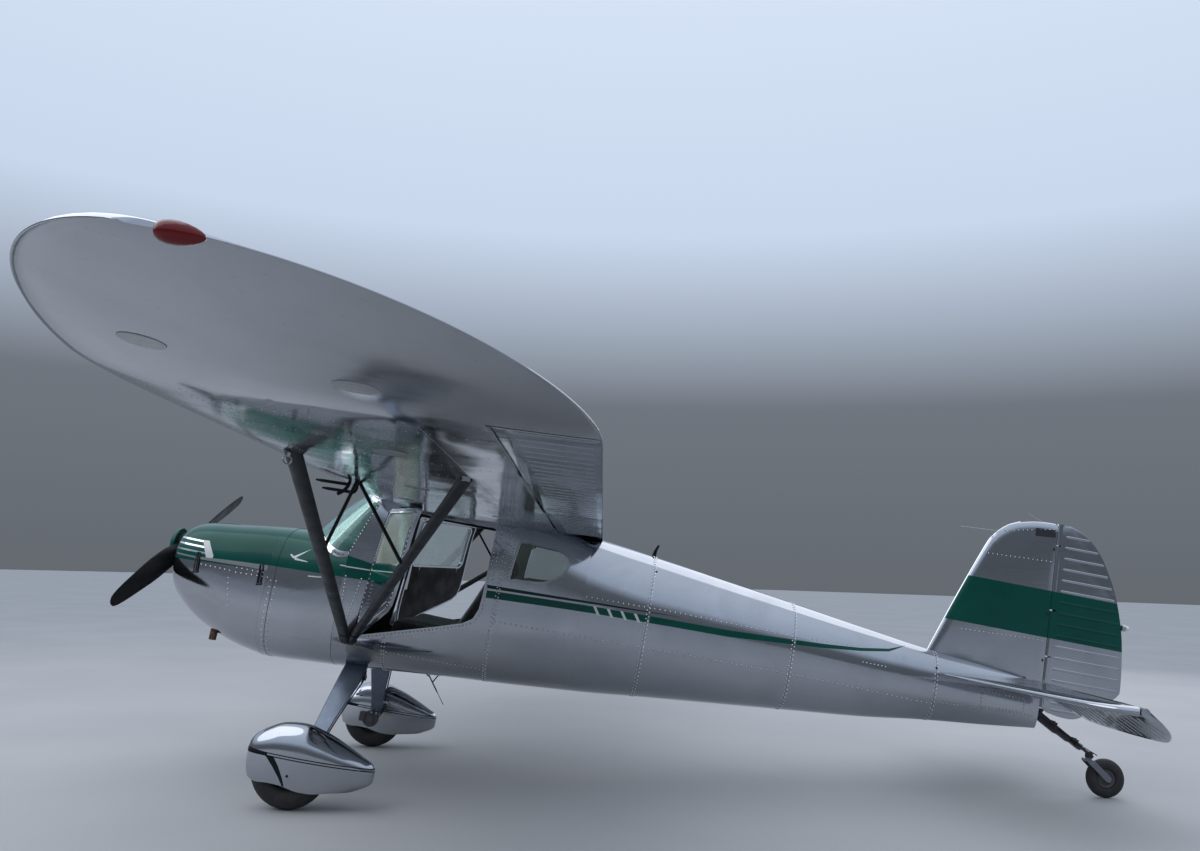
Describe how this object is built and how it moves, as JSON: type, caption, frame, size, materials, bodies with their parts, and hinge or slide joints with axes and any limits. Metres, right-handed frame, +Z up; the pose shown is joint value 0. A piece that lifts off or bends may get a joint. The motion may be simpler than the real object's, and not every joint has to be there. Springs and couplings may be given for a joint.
{
  "type": "light aircraft",
  "caption": "High-wing two-seat light aircraft with a tailwheel, strut-braced wings, wheel spats, open cabin doors and a fixed-pitch propeller.",
  "frame": {"origin": "centre of the bounding box in plan, on the ground under the tyres", "axes": "+X towards the tail, +Y towards the right wing, +Z up; the aircraft stands on its three wheels, nose up"},
  "size_m": [6.512, 10.16, 2.0103],
  "materials": {
    "aluminium": "polished bare sheet",
    "green_paint": "gloss dark green",
    "black": "satin black",
    "steel": "satin",
    "engine": "dull dark grey",
    "glass": "clear",
    "plastic": "matt black",
    "cloth": "dark woven",
    "tyre": "black rubber"
  },
  "bodies": {
    "airframe": {"cowl_upper": "green_paint", "cowl_lower": "aluminium", "firewall": "aluminium", "engine_block": "engine", "boot_cowl": "green_paint", "belly_pan": "aluminium", "cabin_side_left": "aluminium", "cabin_side_right": "aluminium", "centre_section": "aluminium", "wing_left": "aluminium", "wing_right": "aluminium", "windscreen": "glass", "rear_window_left": "glass", "rear_window_right": "glass", "instrument_panel": "plastic", "seat_cushion": "cloth", "seat_back": "cloth", "seat_frame": "plastic", "fin": "aluminium", "stabilizer_left": "aluminium", "stabilizer_right": "aluminium", "tailcone": "aluminium", "strut_front_left": "black", "strut_rear_left": "black", "strut_front_right": "black", "strut_rear_right": "black", "jury_strut_left": "black", "jury_strut_right": "black", "main_leg_left": "aluminium", "main_leg_right": "aluminium", "spat_left": "aluminium", "spat_right": "aluminium", "tail_spring": "steel"},
    "propeller": {"propeller": "black", "spinner": "green_paint"},
    "door_left": {"door_left": "aluminium", "door_window_left": "glass"},
    "door_right": {"door_right": "aluminium", "door_window_right": "glass"},
    "flap_left": {"flap_left": "aluminium"},
    "flap_right": {"flap_right": "aluminium"},
    "aileron_left": {"aileron_left": "aluminium"},
    "aileron_right": {"aileron_right": "aluminium"},
    "rudder": {"rudder": "aluminium"},
    "elevator": {"elevator": "aluminium"},
    "main_wheel_left": {"tyre_left": "tyre", "wheel_left": "aluminium"},
    "main_wheel_right": {"tyre_right": "tyre", "wheel_right": "aluminium"},
    "tail_fork": {"tail_fork": "steel"},
    "tail_wheel": {"tail_tyre": "tyre", "tail_wheel": "aluminium"}
  },
  "joints": [
    {"name": "propeller_spin", "type": "hinge", "parent": "airframe", "child": "propeller", "pos_m": [-3.16681, 0, 1.48245], "axis": [0.9883, 0, -0.1528], "continuous": true},
    {"name": "wheel_left_spin", "type": "hinge", "parent": "airframe", "child": "main_wheel_left", "pos_m": [-2.00882, -0.983, 0.22199], "axis": [0, 1, 0], "continuous": true},
    {"name": "wheel_right_spin", "type": "hinge", "parent": "airframe", "child": "main_wheel_right", "pos_m": [-2.00882, 0.983, 0.22199], "axis": [0, 1, 0], "continuous": true},
    {"name": "tail_steer", "type": "hinge", "parent": "airframe", "child": "tail_fork", "pos_m": [2.99512, 0, 0.23619], "axis": [0.1528, 0, 0.9883], "range_deg": [-30, 30]},
    {"name": "tail_wheel_spin", "type": "hinge", "parent": "tail_fork", "child": "tail_wheel", "pos_m": [3.09834, 0, 0.12501], "axis": [0, 1, 0], "continuous": true},
    {"name": "door_left_hinge", "type": "hinge", "parent": "airframe", "child": "door_left", "pos_m": [-1.8339, -0.536, 0.94749], "axis": [0.2263, 0, 0.9741], "range_deg": [0, 64.4]},
    {"name": "door_right_hinge", "type": "hinge", "parent": "airframe", "child": "door_right", "pos_m": [-1.8339, 0.536, 0.94749], "axis": [0.2263, 0, 0.9741], "range_deg": [-64.4, 0]},
    {"name": "aileron_right_hinge", "type": "hinge", "parent": "airframe", "child": "aileron_right", "pos_m": [-0.52886, 1.93, 1.69167], "axis": [0.0048, 0.9995, 0.031], "range_deg": [-18, 18]},
    {"name": "aileron_left_hinge", "type": "hinge", "parent": "airframe", "child": "aileron_left", "pos_m": [-0.52886, -1.93, 1.69167], "axis": [-0.0048, 0.9995, -0.031], "range_deg": [-18, 18]},
    {"name": "flap_right_hinge", "type": "hinge", "parent": "airframe", "child": "flap_right", "pos_m": [-0.53505, 0.64, 1.65161], "axis": [0.0048, 0.9995, 0.031], "range_deg": [0, 40]},
    {"name": "flap_left_hinge", "type": "hinge", "parent": "airframe", "child": "flap_left", "pos_m": [-0.53505, -0.64, 1.65161], "axis": [-0.0048, 0.9995, -0.031], "range_deg": [0, 40]},
    {"name": "elevator_hinge", "type": "hinge", "parent": "airframe", "child": "elevator", "pos_m": [2.60228, 0, 0.73205], "axis": [0, 1, 0], "range_deg": [-56, 0]},
    {"name": "rudder_hinge", "type": "hinge", "parent": "airframe", "child": "rudder", "pos_m": [2.71576, 0, 0.70033], "axis": [0.1447, 0, 0.9895], "range_deg": [-16, 16]}
  ],
  "couplings": [
    {"joint": "aileron_left_hinge", "follows": "aileron_right_hinge", "ratio": -1},
    {"joint": "flap_left_hinge", "follows": "flap_right_hinge", "ratio": 1}
  ]
}
